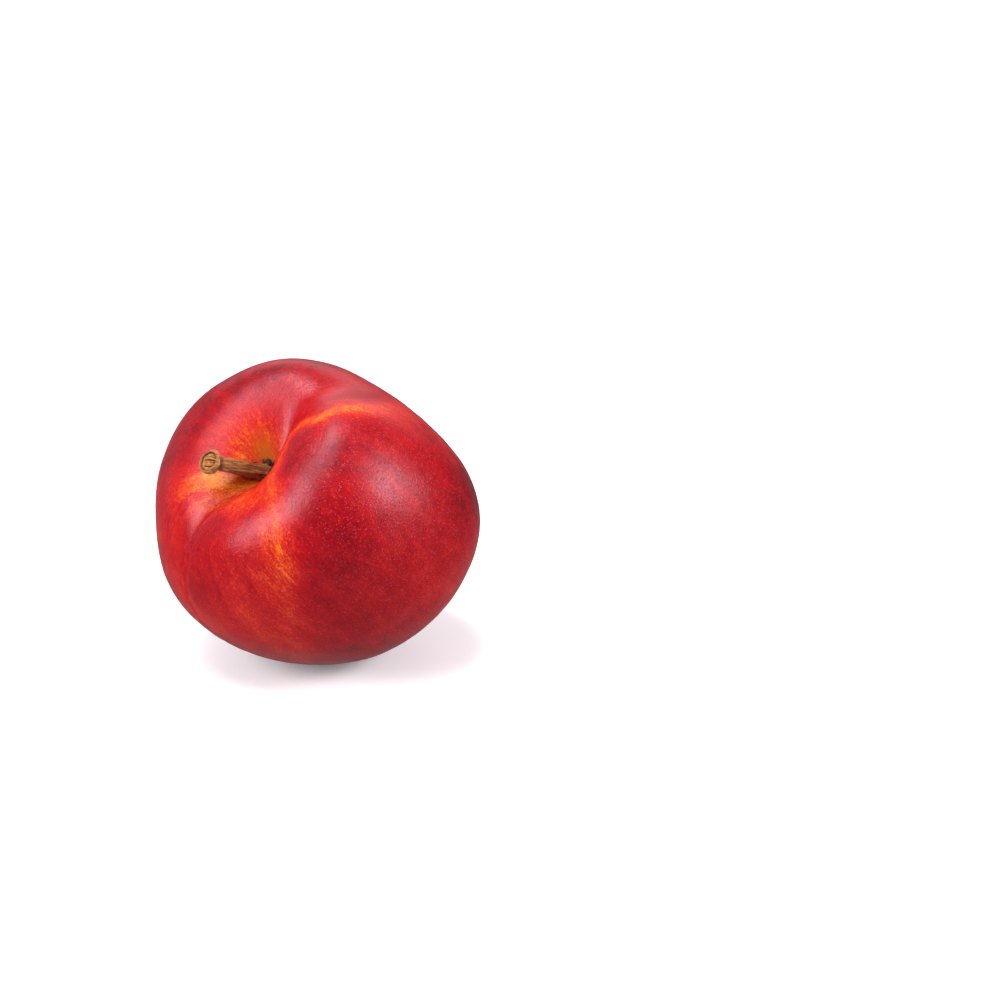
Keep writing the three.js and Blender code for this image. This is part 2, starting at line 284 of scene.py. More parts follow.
# Soft strokes of colour on the map laid flat round the stalk. Each point is how far
# along the fold towards the crease, how far off it towards the right lobe, half the
# stroke's width (all in radians) and how strong it is there.
# The warm strokes: the skin's yellow and orange, and painted light in the pool before the stalk.
WARM_AND_PAINTED_LIGHT_STROKES = (
    # the bowl round the stalk, on the left lobe's side
    ((-0.28, -0.10, 0.12, 0.45), (-0.10, -0.22, 0.17, 0.75), (0.06, -0.34, 0.15, 0.80),
     (0.26, -0.20, 0.14, 1.00)),
    ((-0.16, -0.36, 0.10, 0.45), (0.02, -0.46, 0.12, 0.50)),
    # the yellow pool in front of the stalk, running out over the left lobe, made stronger as
    # painted light: it lightens the stalk's shadow in the bowl and stands in for a highlight
    # towards the crease
    ((0.24, -0.06, 0.11, 1.30), (0.37, -0.20, 0.12, 1.45), (0.48, -0.29, 0.10, 1.10),
     (0.62, -0.38, 0.10, 0.55)),
    ((0.34, -0.08, 0.11, 1.0), (0.45, -0.05, 0.10, 1.0), (0.55, -0.10, 0.09, 0.75)),
    # along the right lobe's rim
    ((0.42, 0.08, 0.06, 0.45), (0.27, 0.13, 0.08, 0.80), (0.10, 0.18, 0.09, 0.70),
     (-0.09, 0.17, 0.05, 0.70)),
    ((-0.09, 0.17, 0.04, 0.75), (-0.30, 0.17, 0.04, 0.6)),
    ((0.38, 0.14, 0.08, 0.5), (0.25, 0.20, 0.08, 0.80), (0.13, 0.28, 0.08, 0.70)),
    # the streaked patch down the right lobe
    ((0.04, 0.20, 0.10, 0.75), (0.16, 0.38, 0.11, 0.85), (0.26, 0.52, 0.13, 0.85),
     (0.36, 0.63, 0.14, 0.75), (0.47, 0.68, 0.14, 0.60), (0.60, 0.73, 0.15, 0.40),
     (0.80, 0.78, 0.17, 0.28)),
    # the streak along the right lobe's crest, at the back
    ((-0.30, 0.15, 0.05, 0.50), (-0.41, 0.18, 0.05, 0.9), (-0.50, 0.33, 0.055, 1.20),
     (-0.60, 0.40, 0.06, 0.9), (-0.85, 0.48, 0.08, 0.75), (-1.05, 0.45, 0.12, 0.40),
     (-1.35, 0.45, 0.18, 0.25)),
    # flecks low on the right lobe
    ((0.62, 0.25, 0.16, 0.15), (0.72, 0.45, 0.20, 0.20), (0.95, 0.60, 0.26, 0.20),
     (1.15, 0.80, 0.30, 0.22)),
    ((0.58, 0.60, 0.14, 0.35), (0.85, 0.80, 0.22, 0.35)),
    ((0.66, 0.12, 0.10, 0.10), (1.00, 0.25, 0.16, 0.15), (1.30, 0.40, 0.22, 0.20)),
    # flecks down the left one
    ((0.52, -0.42, 0.10, 0.45), (0.70, -0.20, 0.12, 0.15), (0.95, -0.15, 0.16, 0.25),
     (1.20, 0.00, 0.20, 0.25)),
    ((0.66, -0.45, 0.12, 0.15), (0.90, -0.38, 0.16, 0.35), (1.20, -0.30, 0.20, 0.30)),
    # the shaded side, low at the back
    ((-1.00, -1.30, 0.50, 0.25), (-0.30, -1.80, 0.65, 0.36), (0.80, -1.75, 0.55, 0.28)),
)

# The dark strokes: the skin's deeper crimson, and painted shade where the fruit lies in shade or
# turns away from the lamps.
CRIMSON_AND_PAINTED_SHADE_STROKES = (
    # deeper crimson and painted shade in the hollow of the right lobe, below its cheek
    ((-0.10, 0.62, 0.20, 0.30), (0.02, 0.85, 0.26, 0.45), (0.20, 1.05, 0.28, 0.20),
     (0.40, 1.45, 0.45, 0.30)),
    # painted shade behind the right lobe's rim
    ((-0.08, 0.28, 0.08, 0.40), (-0.20, 0.30, 0.09, 0.45), (-0.36, 0.32, 0.09, 0.45)),
    # painted shade on the far cheek
    ((-0.85, 1.50, 0.20, 0.20), (-1.20, 1.42, 0.22, 0.55), (-1.50, 1.45, 0.36, 0.90),
     (-1.90, 1.50, 0.50, 0.60)),
    # painted shade beside the crease
    ((0.50, 0.10, 0.07, 0.25), (1.00, 0.10, 0.10, 0.25)),
    # painted shade on the left lobe's shoulder, and round behind it
    ((0.50, -0.64, 0.15, 0.60), (0.22, -0.72, 0.16, 0.50), (-0.02, -0.84, 0.20, 0.45),
     (-0.30, -0.66, 0.16, 0.55), (-0.48, -0.48, 0.15, 0.60), (-0.78, -0.42, 0.16, 0.45),
     (-1.05, -0.38, 0.20, 0.40)),
    # painted shade down the left lobe's side
    ((0.58, -0.54, 0.10, 0.45), (0.74, -0.42, 0.10, 0.40), (0.88, -0.32, 0.12, 0.25),
     (1.10, -0.30, 0.14, 0.15)),
    # deeper crimson and painted shade on the top of the right lobe
    ((-0.24, 0.48, 0.13, 0.45), (-0.40, 0.60, 0.13, 0.50), (-0.55, 0.72, 0.13, 0.30),
     (-0.75, 0.78, 0.14, 0.10)),
    ((0.10, 0.62, 0.10, 0.20), (0.18, 0.80, 0.12, 0.25)),
    # down the back
    ((-0.95, -0.45, 0.30, 0.30), (-1.60, -0.40, 0.40, 0.50), (-2.20, 0.10, 0.50, 0.55)),
)
STROKE_REACH = 3                 # half widths, past which a stroke no longer counts

# The olive patch at the bottom of the bowl, behind the stalk.
THROAT = {"front": -0.06, "side": -0.22, "size": 0.10, "strength": 0.85}

# How the streaks of the skin run: meridians that swing over to the right lobe.
FLOW_SWING = 0.5
FLOW_FROM = math.radians(38)
FLOW_SPAN = math.radians(40)
FLOW_OPEN = 0.15                 # keeps the streaks from crowding at the two ends

# How many of the small pale dots show: most on the sunny cheek, fewer towards its front.
DOT_COVER = {"least": 0.10, "more": 0.85, "from": 0.18, "to": 0.42}
DOT_THINNING = {"share": 0.85, "from": -0.20, "to": 0.35}


def painted(strokes, front, side):
    """Strongest of the soft strokes at a place on the flat map."""
    most = 0.0
    for stroke in strokes:
        for (x0, y0, w0, s0), (x1, y1, w1, s1) in zip(stroke, stroke[1:]):
            run = (x1 - x0) ** 2 + (y1 - y0) ** 2
            t = min(max(((front - x0) * (x1 - x0) + (side - y0) * (y1 - y0)) / run, 0.0), 1.0)
            away = math.hypot(front - mix(x0, x1, t), side - mix(y0, y1, t))
            width = mix(w0, w1, t)
            if away < STROKE_REACH * width:
                most = max(most, mix(s0, s1, t) * bell(away / width))
    return most


def flow_azimuth(azimuth, polar):
    """The azimuth that the streak through a direction started from at the stalk."""
    swing = min(max((polar - FLOW_FROM) / FLOW_SPAN, 0.0), 1.0)
    if polar > math.pi / 2:
        swing *= math.sin(polar)
    return math.atan2(math.sin(polar) * math.sin(azimuth) - FLOW_SWING * swing,
                      math.sin(polar) * math.cos(azimuth))


def throat_strength(front, side):
    away = math.hypot(front - THROAT["front"], side - THROAT["side"])
    return THROAT["strength"] * bell(away / THROAT["size"])


def dot_cover(front, side):
    cheek = ramp(DOT_COVER["from"], DOT_COVER["to"], side)
    thinning = ramp(DOT_THINNING["from"], DOT_THINNING["to"], front)
    cheek *= 1 - DOT_THINNING["share"] * thinning
    return DOT_COVER["least"] + DOT_COVER["more"] * cheek


# ------------------------------------------------------------------------------ mesh helpers

def finished(name, bm, material, values=None, smooth=True):
    """Makes a piece of a mesh. The values, which its material reads, are lists by name,
    with one number or three for each point of the mesh."""
    mesh = bpy.data.meshes.new(name)
    bm.normal_update()
    bm.to_mesh(mesh)
    bm.free()
    mesh.polygons.foreach_set("use_smooth", [smooth] * len(mesh.polygons))
    mesh.materials.append(material)
    for key, numbers in (values or {}).items():
        if len(numbers) > len(mesh.vertices):
            kind, field = "FLOAT_VECTOR", "vector"
        else:
            kind, field = "FLOAT", "value"
        attribute = mesh.attributes.new(name=key, type=kind, domain="POINT")
        attribute.data.foreach_set(field, numbers)
    piece = bpy.data.objects.new(name, mesh)
    bpy.context.scene.collection.objects.link(piece)
    return piece


# ---------------------------------------------------------------------------- node helpers

# Which sockets of a Mix node are those for colours.
MIX_FIRST = 6
MIX_SECOND = 7
MIX_RESULT = 2

NOISE_MIDDLE = 0.5


def rgba(red, green, blue):
    return (red, green, blue, 1.0)


class Nodes:
    """A node tree, with short calls for the nodes that are used again and again."""

    def __init__(self, tree):
        self.tree = tree

    def node(self, kind, **settings):
        made = self.tree.nodes.new(kind)
        for key, value in settings.items():
            setattr(made, key, value)
        return made

    def feed(self, value, socket):
        if isinstance(value, bpy.types.NodeSocket):
            self.tree.links.new(value, socket)
        else:
            socket.default_value = value

    def feed_all(self, values, sockets):
        for value, socket in zip(values, sockets):
            self.feed(value, socket)

    def attribute(self, name, output="Fac"):
        return self.node("ShaderNodeAttribute", attribute_name=name).outputs[output]

    def math(self, operation, first, second):
        made = self.node("ShaderNodeMath", operation=operation)
        self.feed_all((first, second), made.inputs)
        return made.outputs[0]

    def vector_math(self, operation, first, second, output="Vector"):
        made = self.node("ShaderNodeVectorMath", operation=operation)
        self.feed_all((first, second), made.inputs)
        return made.outputs[output]

    def total(self, *parts, offset=0.0):
        """Sum of values, each with its weight."""
        result = offset
        for value, weight in parts:
            made = self.node("ShaderNodeMath", operation="MULTIPLY_ADD")
            self.feed_all((value, weight, result), made.inputs)
            result = made.outputs[0]
        return result

    def step(self, value, low, high, to_low=0.0, to_high=1.0):
        """A soft fade from one strength, up to low, to the other, from high on."""
        made = self.node("ShaderNodeMapRange", interpolation_type="SMOOTHSTEP")
        self.feed_all((value, low, high, to_low, to_high), made.inputs)
        return made.outputs["Result"]


class Shader(Nodes):
    """The nodes of a material."""

    def __init__(self, name):
        self.material = bpy.data.materials.new(name)
        self.material.use_nodes = True
        super().__init__(self.material.node_tree)

    def surfaced(self, values):
        """The material, once the inputs of its surface have been given their values."""
        surface = self.tree.nodes["Principled BSDF"]
        for name, value in values.items():
            self.feed(value, surface.inputs[name])
        return self.material

    def place(self):
        return self.node("ShaderNodeTexCoord").outputs["Object"]

    def scaled(self, vector, scale):
        return self.vector_math("MULTIPLY", vector, scale)

    def noise(self, vector, scale, detail, rough, output="Fac"):
        made = self.node("ShaderNodeTexNoise")
        self.feed(vector, made.inputs["Vector"])
        self.feed(scale, made.inputs["Scale"])
        self.feed(detail, made.inputs["Detail"])
        self.feed(rough, made.inputs["Roughness"])
        return made.outputs[output]

    def centred(self, value):
        return self.math("SUBTRACT", value, NOISE_MIDDLE)

    def cells(self, vector, scale):
        """How far each place is from the middle of its cell, and the cell's own colour."""
        made = self.node("ShaderNodeTexVoronoi", feature="F1")
        self.feed(vector, made.inputs["Vector"])
        self.feed(scale, made.inputs["Scale"])
        return made.outputs["Distance"], made.outputs["Color"]

    def blend(self, share, first, second):
        made = self.node("ShaderNodeMix", data_type="RGBA")
        self.feed(share, made.inputs["Factor"])
        self.feed(first, made.inputs[MIX_FIRST])
        self.feed(second, made.inputs[MIX_SECOND])
        return made.outputs[MIX_RESULT]

    def scale_of_colours(self, value, stops):
        made = self.node("ShaderNodeValToRGB")
        ramp_stops = made.color_ramp.elements
        while len(ramp_stops) < len(stops):
            ramp_stops.new(1.0)
        for stop, (position, colour) in zip(ramp_stops, stops):
            stop.position = position
            stop.color = rgba(*colour)
        self.feed(value, made.inputs["Fac"])
        return made.outputs["Color"]

    def bump(self, height, distance, under=None):
        made = self.node("ShaderNodeBump")
        self.feed(distance, made.inputs["Distance"])
        self.feed(height, made.inputs["Height"])
        if under is not None:
            self.feed(under, made.inputs["Normal"])
        return made.outputs["Normal"]


# ------------------------------------------------------------------------------ skin material

# From the deepest crimson of the sunny side to the yellow of the shaded flesh.
SKIN_COLOURS = (
    (0.00, (0.060, 0.0004, 0.0022)),
    (0.22, (0.165, 0.0007, 0.0042)),
    (0.45, (0.325, 0.0015, 0.0046)),
    (0.60, (0.440, 0.0085, 0.0042)),
    (0.74, (0.530, 0.0400, 0.0040)),
    (0.88, (0.620, 0.1120, 0.0062)),
    (1.00, (0.680, 0.2200, 0.0160)),
)
OLIVE = rgba(0.36, 0.085, 0.0015)
PALE_DOT = rgba(0.60, 0.13, 0.15)

# What moves the skin along that scale, from where plain red lies on it.
WARMTH = {"plain": 0.45, "glow": 0.36, "deep": -0.30, "cloud": 0.30, "speck": 0.55}

# Noises, here and below: how fine to the metre, detail and roughness.
SHAKE = (260.0, 2.0, 0.5)
CLOUD = (150.0, 3.0, 0.55)
SPECK = (2400.0, 2.0, 0.6)
GRAIN = (2600.0, 2.0, 0.55)

# Brush strokes that run from stalk to blossom end, from broad ones to hairs: how fine
# across and along the flow, detail, roughness and weight. They are shaken a little, so
# that none runs on straight.
STREAKS = (
    ((9.0, 9.0, 3.5), 2.0, 0.5, 0.8),
    ((40.0, 40.0, 15.0), 3.0, 0.6, 1.0),
    ((105.0, 105.0, 34.0), 2.0, 0.6, 1.0),
)
STREAK_MIDDLE = 1.42             # about what they add up to on average
STREAK_SHAKE = (0.05, 0.05, 0.16)

# Fades, here and below, are the two values between which they run and the strengths at
# either end, where those aren't 0 and 1. The streaks are livelier where the skin glows.
STREAK_LIFE = (0.0, 0.7, 0.36, 0.56)

# Pale dots, each in a cell of its own, some larger and some left out.
DOTS_PER_METRE = 1900.0
DOT_GROWTH = 0.09
DOT_EDGE = (0.10, 0.30, 1.0, 0.0)
DOT_STRENGTH = 0.17

# Heights of the relief are in metres, here and below.
GRAIN_HEIGHT = 0.00008
DOT_HEIGHT = 0.00004
SKIN_ROUGHNESS = (0.2, 0.8, 0.28, 0.35)
SKIN_SPECULAR = 0.32
SKIN_REFRACTION = 1.45
SKIN_SHEEN = rgba(0.97, 0.90, 1.0)


def skin_material():
    m = Shader("nectarine_skin")
    place = m.place()
    glow = m.attribute("glow")

    centre = (-NOISE_MIDDLE,) * 3
    shake = m.vector_math("ADD", m.noise(place, *SHAKE, output="Color"), centre)
    flow = m.vector_math("ADD", m.attribute("flow", "Vector"), m.scaled(shake, STREAK_SHAKE))
    streak = m.total(*(
        (m.noise(m.scaled(flow, fineness), 1.0, detail, rough), weight)
        for fineness, detail, rough, weight in STREAKS
    ), offset=-STREAK_MIDDLE)
    streak = m.math("MULTIPLY", streak, m.step(glow, *STREAK_LIFE))

    cloud = m.noise(place, *CLOUD)
    # The warm strokes add painted light to the skin's colour, and the dark strokes add painted
    # shade.
    warmth = m.total(
        (glow, WARMTH["glow"]),
        (m.attribute("deep"), WARMTH["deep"]),
        (streak, 1.0),
        (m.centred(cloud), WARMTH["cloud"]),
        (m.centred(m.noise(place, *SPECK)), WARMTH["speck"]),
        offset=WARMTH["plain"],
    )
    colour = m.scale_of_colours(warmth, SKIN_COLOURS)
    colour = m.blend(m.attribute("throat"), colour, OLIVE)

    near, tint = m.cells(place, DOTS_PER_METRE)
    chance = m.node("ShaderNodeSeparateColor")
    m.feed(tint, chance.inputs["Color"])
    near = m.math("SUBTRACT", near, m.math("MULTIPLY", chance.outputs["Red"], DOT_GROWTH))
    shown = m.math("LESS_THAN", chance.outputs["Green"], m.attribute("dots"))
    dot = m.math("MULTIPLY", m.step(near, *DOT_EDGE), shown)
    colour = m.blend(m.math("MULTIPLY", dot, DOT_STRENGTH), colour, PALE_DOT)

    normal = m.bump(m.noise(place, *GRAIN), GRAIN_HEIGHT)
    return m.surfaced({
        "Base Color": colour,
        "Roughness": m.step(cloud, *SKIN_ROUGHNESS),
        "Normal": m.bump(dot, DOT_HEIGHT, under=normal),
        "Specular IOR Level": SKIN_SPECULAR,
        "IOR": SKIN_REFRACTION,
        "Specular Tint": SKIN_SHEEN,
    })


# ---------------------------------------------------------------------------------- the skin

def make_skin(material):
    bm = bmesh.new()
    bmesh.ops.create_uvsphere(
        bm, u_segments=SEGMENTS_ROUND, v_segments=SEGMENTS_DOWN, radius=1.0,
    )
    values = {name: [] for name in ("flow", "glow", "deep", "throat", "dots")}
    for vert in bm.verts:
        share = math.acos(min(max(vert.co.z, -1.0), 1.0)) / math.pi
        polar = math.pi * share ** GRID_DRAW["stalk"]
        turn = math.atan2(vert.co.y, vert.co.x)
        azimuth = crease_azimuth(polar) + turn - GRID_DRAW["crease"] * math.sin(turn)
        d = direction(azimuth, polar)
        point = LYING @ (d * (skin_distance(azimuth, polar) + skin_waviness(d)))
        # Skin that would come out below the ground is flattened into the resting spot.
        point.z = (point.z + math.hypot(point.z, 2 * SPOT_SOFTNESS)) / 2
        vert.co = point * MM
        front, side = fold_place(azimuth, polar)
        # The streaks lie side by side over the flow's first two numbers, and run along
        # its third.
        streak = flow_azimuth(azimuth, polar)
        spread = math.sin(polar) * (1 + FLOW_OPEN) / (math.sin(polar) + FLOW_OPEN)
        values["flow"] += [spread * math.cos(streak), spread * math.sin(streak), polar]
        # The strokes' strengths: the skin's colours, with painted light and painted shade among
        # them.
        values["glow"].append(painted(WARM_AND_PAINTED_LIGHT_STROKES, front, side))
        values["deep"].append(painted(CRIMSON_AND_PAINTED_SHADE_STROKES, front, side))
        values["throat"].append(throat_strength(front, side))
        values["dots"].append(dot_cover(front, side))
    return finished("nectarine_skin", bm, material, values)


# --------------------------------------------------------------------------------- the stalk

def spline_point(points, t):
    """A point on a smooth curve through the points, and its direction there (t from 0 to 1)."""
    place = t * (len(points) - 1)
    index = min(int(place), len(points) - 2)
    u = place - index
    p1, p2 = points[index], points[index + 1]
    p0 = points[index - 1] if index > 0 else p1 * 2 - p2
    p3 = points[index + 2] if index + 2 < len(points) else p2 * 2 - p1
    point = 0.5 * (2 * p1 + (p2 - p0) * u + (2 * p0 - 5 * p1 + 4 * p2 - p3) * u * u
                   + (3 * p1 - p0 - 3 * p2 + p3) * u ** 3)
    slope = 0.5 * ((p2 - p0) + 2 * (2 * p0 - 5 * p1 + 4 * p2 - p3) * u
                   + 3 * (3 * p1 - p0 - 3 * p2 + p3) * u * u)
    return point, slope.normalized()


COURSE = [Vector((out, 0.0, up)) for out, up in STALK_COURSE]
COURSE_STEPS = 400


def walked_course():
    """How far along the stalk each step of its curve is."""
    walk = [(0.0, 0.0)]
    last = spline_point(COURSE, 0.0)[0]
    for step in range(1, COURSE_STEPS + 1):
        here = spline_point(COURSE, step / COURSE_STEPS)[0]
        walk.append((walk[-1][0] + (here - last).length, step / COURSE_STEPS))
        last = here
    return walk


WALK = walked_course()
STALK_LENGTH = WALK[-1][0]


def course_at(along):
    """Point and direction at a distance along the stalk."""
    reach = min(max(along, 0.0), STALK_LENGTH)
    low = 0
    high = len(WALK) - 1
    while high - low > 1:
        middle = (low + high) // 2
        if WALK[middle][0] > reach:
            high = middle
        else:
            low = middle
    span = WALK[high][0] - WALK[low][0]
    t = mix(WALK[low][1], WALK[high][1], (reach - WALK[low][0]) / span)
    point, slope = spline_point(COURSE, t)
    return point + slope * (along - reach), slope


STALK_STANDS = (
    LYING
    @ Matrix.Translation(STALK_FOOT)
    @ Euler((0, 0, math.radians(STALK_AZIMUTH))).to_matrix().to_4x4()
)


def stalk_point(along, off, angle):
    """A place in the scene (mm) from how far along the stalk it is, how far off its
    middle line and at what angle round it."""
    point, slope = course_at(along)
    outward = Vector((slope.z, 0, -slope.x))
    local = point + outward * (off * math.cos(angle)) + Vector((0, off * math.sin(angle), 0))
    return STALK_STANDS @ local


def stalk_radius(along):
    """Plain radius of the stalk at a distance along it."""
    if along < ROOT_DEPTH:
        return mix(ROOT_RADIUS["tip"], ROOT_RADIUS["full"], ramp(0, ROOT_RADIUS["rise"], along))
    head = STALK_LENGTH - HEAD_LENGTH
    shaft = mix(STALK_BASE, STALK_NECK, ramp(ROOT_DEPTH, head, along))
    collar = (COLLAR["radius"] - STALK_BASE) * bell(
        (along - ROOT_DEPTH - COLLAR["above"]) / COLLAR["width"]
    )
    collar *= ramp(ROOT_DEPTH + COLLAR["from"], ROOT_DEPTH + COLLAR["to"], along)
    flare = HEAD_RADIUS - STALK_NECK
    flare *= ramp(head + HEAD_FLARE["from"], head + HEAD_FLARE["to"], along)
    waist = WAIST["depth"] * bell((along - head + WAIST["before"]) / WAIST["width"])
    tuck = TUCK["depth"] * ramp(STALK_LENGTH - TUCK["length"], STALK_LENGTH, along)
    return shaft + collar + flare - waist - tuck


# The bark's relief, in shares of its radius: how its ridges twist and wander, its ridges
# (how many round, phase and height), then its grain and its knobs (waves round, waves to
# a millimetre along, height).
BARK_TWIST = {"along": 0.07, "wander": 0.25, "pace": 0.25}
WANDER_PLACE = (1.7, 0.3)        # where in the noise it wanders
BARK_RIDGES = ((7, 0.0, 0.055), (13, 1.3, 0.035))
BARK_GRAIN = {"round": 3.2, "along": 0.28, "height": 0.11}
BARK_FINE_GRAIN = {"finer": 2.3, "height": 0.05}
BARK_KNOBS = {"round": 1.2, "along": 0.55, "height": 0.10}
BARK_RISE = 2                    # mm from the flesh to where it is at its full height
BARK_CALM = {"share": 0.6, "before_end": 1.0}    # how much smoother the head is


def wrapped(angle, along, waves):
    """A place in noise that wraps round the stalk."""
    return Vector((
        math.cos(angle) * waves["round"],
        math.sin(angle) * waves["round"],
        along * waves["along"],
    ))


def bark_relief(along, angle, off):
    """Lengthwise ridges, wrinkles and knobs of the dry bark."""
    wander = noise.noise(Vector((along * BARK_TWIST["pace"], *WANDER_PLACE)))
    sway = angle + BARK_TWIST["along"] * along + BARK_TWIST["wander"] * wander
    ridges = sum(
        height * math.sin(count * sway + phase) for count, phase, height in BARK_RIDGES
    )
    place = wrapped(sway, along, BARK_GRAIN)
    grain = BARK_GRAIN["height"] * noise.noise(place)
    grain += BARK_FINE_GRAIN["height"] * noise.noise(place * BARK_FINE_GRAIN["finer"])
    knobs = BARK_KNOBS["height"] * noise.noise(wrapped(angle, along, BARK_KNOBS))
    free = ramp(ROOT_DEPTH, ROOT_DEPTH + BARK_RISE, along)
    head = ramp(STALK_LENGTH - HEAD_LENGTH, STALK_LENGTH - BARK_CALM["before_end"], along)
    return off * free * (1 - BARK_CALM["share"] * head) * (ridges + grain + knobs)


# The scarred end, the scar's radius being 1: a groove inside its rim, deeper on one
# side, and dark bars across it (place, bend and strength), which break off before it.
SCAR_TURN = math.radians(63)
SCAR_RING = {"at": 0.86, "width": 0.085, "strength": 0.85, "uneven": 0.25, "turn": 0.5}
SCAR_BARS = ((-0.50, 0.30, 0.8), (-0.16, 0.12, 0.9), (0.14, -0.12, 0.9), (0.46, -0.34, 1.1))
BAR_WIDTH = 0.095
BAR_END = {"from": 0.66, "to": 0.84}
BAR_BREAKS = {"whole": 0.75, "noise": 0.8, "waves": 2.2, "layer": 9.0, "down": 0.35}
SCAR_OUTLINE = {"lobes": 5, "depth": 0.03}

# Its depths in millimetres.
SCAR_BOWL = 0.22
SCAR_GROOVE = 0.30
SCAR_LUMPS = {"height": 0.12, "waves": 2.6, "layer": 4.0}

OFF_SCAR = -1.0                  # stands for the place on the scar where there is none


def scar_marks(share, angle):
    """Where the dark grooves of the scar lie, from its middle (0) to its rim (1)."""
    turn = angle - SCAR_TURN
    across = share * math.cos(turn)
    down = share * math.sin(turn)
    ring = bell((share - SCAR_RING["at"]) / SCAR_RING["width"])
    ring *= SCAR_RING["strength"] - SCAR_RING["uneven"] * math.cos(turn - SCAR_RING["turn"])
    bars = max(
        strength * bell((across - at - bend * down * down) / BAR_WIDTH)
        for at, bend, strength in SCAR_BARS
    )
    waves = BAR_BREAKS["waves"]
    uneven = noise.noise(Vector((across * waves, down * waves, BAR_BREAKS["layer"])))
    bars *= BAR_BREAKS["whole"] + BAR_BREAKS["noise"] * uneven + BAR_BREAKS["down"] * down
    bars *= 1 - ramp(BAR_END["from"], BAR_END["to"], share)
    return min(max(ring, bars), 1.0)


def scar_relief(share, angle):
    """Height of the scarred end over its plain flat, in millimetres."""
    reach = share * SCAR_LUMPS["waves"]
    lumps = noise.noise(Vector((
        reach * math.cos(angle),
        reach * math.sin(angle),
        SCAR_LUMPS["layer"],
    )))
    bowl = SCAR_BOWL * (1 - share ** 4)
    return SCAR_LUMPS["height"] * lumps - bowl - SCAR_GROOVE * scar_marks(share, angle)


def stalk_profile():
    """Half the stalk's outline from root to scar: radius, how far along, place on the scar."""
    rows = [(0.0, 0.0, OFF_SCAR)]
    for ring in range(STALK_RINGS + 1):
        along = STALK_LENGTH * ring / STALK_RINGS
        rows.append((stalk_radius(along), along, OFF_SCAR))
    rim = (stalk_radius(STALK_LENGTH) + SCAR_RADIUS) / 2
    rows.append((rim, STALK_LENGTH + RIM_RISE, OFF_SCAR))
    for ring in range(SCAR_RINGS + 1):
        share = 1 - ring / SCAR_RINGS
        rows.append((SCAR_RADIUS * share, STALK_LENGTH, share))
    return rows


def make_stalk(material):
    bm = bmesh.new()
    scar = bm.verts.layers.float.new("scar_share")
    profile = []
    for off, along, share in stalk_profile():
        profile.append(bm.verts.new((off, 0, along)))
        profile[-1][scar] = share
    edges = [bm.edges.new(pair) for pair in zip(profile, profile[1:])]
    bmesh.ops.spin(
        bm, geom=profile + edges, cent=(0, 0, 0), axis=(0, 0, 1),
        angle=2 * math.pi, steps=STALK_ROUND, use_merge=True,
    )
    bmesh.ops.remove_doubles(bm, verts=bm.verts, dist=MERGE_DISTANCE)
    values = {name: [] for name in ("grain", "scar", "marks")}
    for vert in bm.verts:
        off = math.hypot(vert.co.x, vert.co.y)
        angle = math.atan2(vert.co.y, vert.co.x)
        along = vert.co.z
        share = vert[scar]
        on_scar = share >= 0
        values["grain"] += [math.cos(angle), math.sin(angle), along]
        values["scar"].append(share)
        values["marks"].append(scar_marks(share, angle) if on_scar else 0.0)
        slanting = ramp(STALK_LENGTH - HEAD_LENGTH, STALK_LENGTH, along)
        along += SCAR_SLANT * off * math.cos(angle) * slanting
        if on_scar:
            along += scar_relief(share, angle)
            off *= 1 + SCAR_OUTLINE["depth"] * math.sin(SCAR_OUTLINE["lobes"] * angle)
        else:
            off += bark_relief(along, angle, off)
        vert.co = stalk_point(along, off, angle) * MM
    bmesh.ops.recalc_face_normals(bm, faces=bm.faces)
    return finished("stalk", bm, material, values)


# ------------------------------------------------------------------------------ bark material

# Colours of the bark, each first near the flesh and then towards the head.
BARK_DARK = (rgba(0.105, 0.026, 0.009), rgba(0.19, 0.066, 0.020))
BARK_LIGHT = (rgba(0.36, 0.130, 0.034), rgba(0.42, 0.175, 0.050))
BARK_BLOTCH = rgba(0.085, 0.024, 0.010)
BARK_FLECK = rgba(0.52, 0.28, 0.12)
FOOT_SHADE = rgba(0.05, 0.016, 0.010)
NECK_SHADE = rgba(0.07, 0.022, 0.010)

# Colours of the scar, each from dark to light, and of its grooves.
PITH = (rgba(0.30, 0.105, 0.020), rgba(0.46, 0.20, 0.050))
SCAR_RIM = (rgba(0.15, 0.060, 0.026), rgba(0.36, 0.19, 0.09))
GROOVE = rgba(0.050, 0.015, 0.006)

# Fades along the stalk (mm): where it turns lighter, and its shaded foot and neck.
LIGHTER = (9.0, 15.5)
FOOT_FADE = (3.6, 6.4, 0.8, 0.0)
NECK_START = (15.9, 16.7)
NECK_END = (17.1, 17.9, 0.75, 0.0)

# The lines run along the stalk, so they are much finer across than along.
LINES_FINENESS = (6.0, 6.0, 0.45)
LINES = (1.0, 4.0, 0.65)
BLOTCH = (700.0, 3.0, 0.6)
FLECK = (3200.0, 2.0, 0.6)
PITH_GRAIN = (1500.0, 3.0, 0.6)

# Fades over those noises.
LINES_FADE = (0.35, 0.65)
BLOTCH_FADE = (0.50, 0.72, 0.0, 0.6)
FLECK_FADE = (0.58, 0.72, 0.0, 0.35)
PITH_FADE = (0.4, 0.65)
BARK_ROUGHNESS = (0.3, 0.7, 0.55, 0.80)

# Fades over the place on the scar, and over how deep its grooves are.
SCAR_START = (-0.05, 0.0)
SCAR_RIM_START = (0.90, 0.96)
GROOVE_FADE = (0.15, 0.75, 0.0, 0.95)

LINES_HEIGHT = 0.00015
FLECK_HEIGHT = 0.00005
DRY_SPECULAR = 0.2


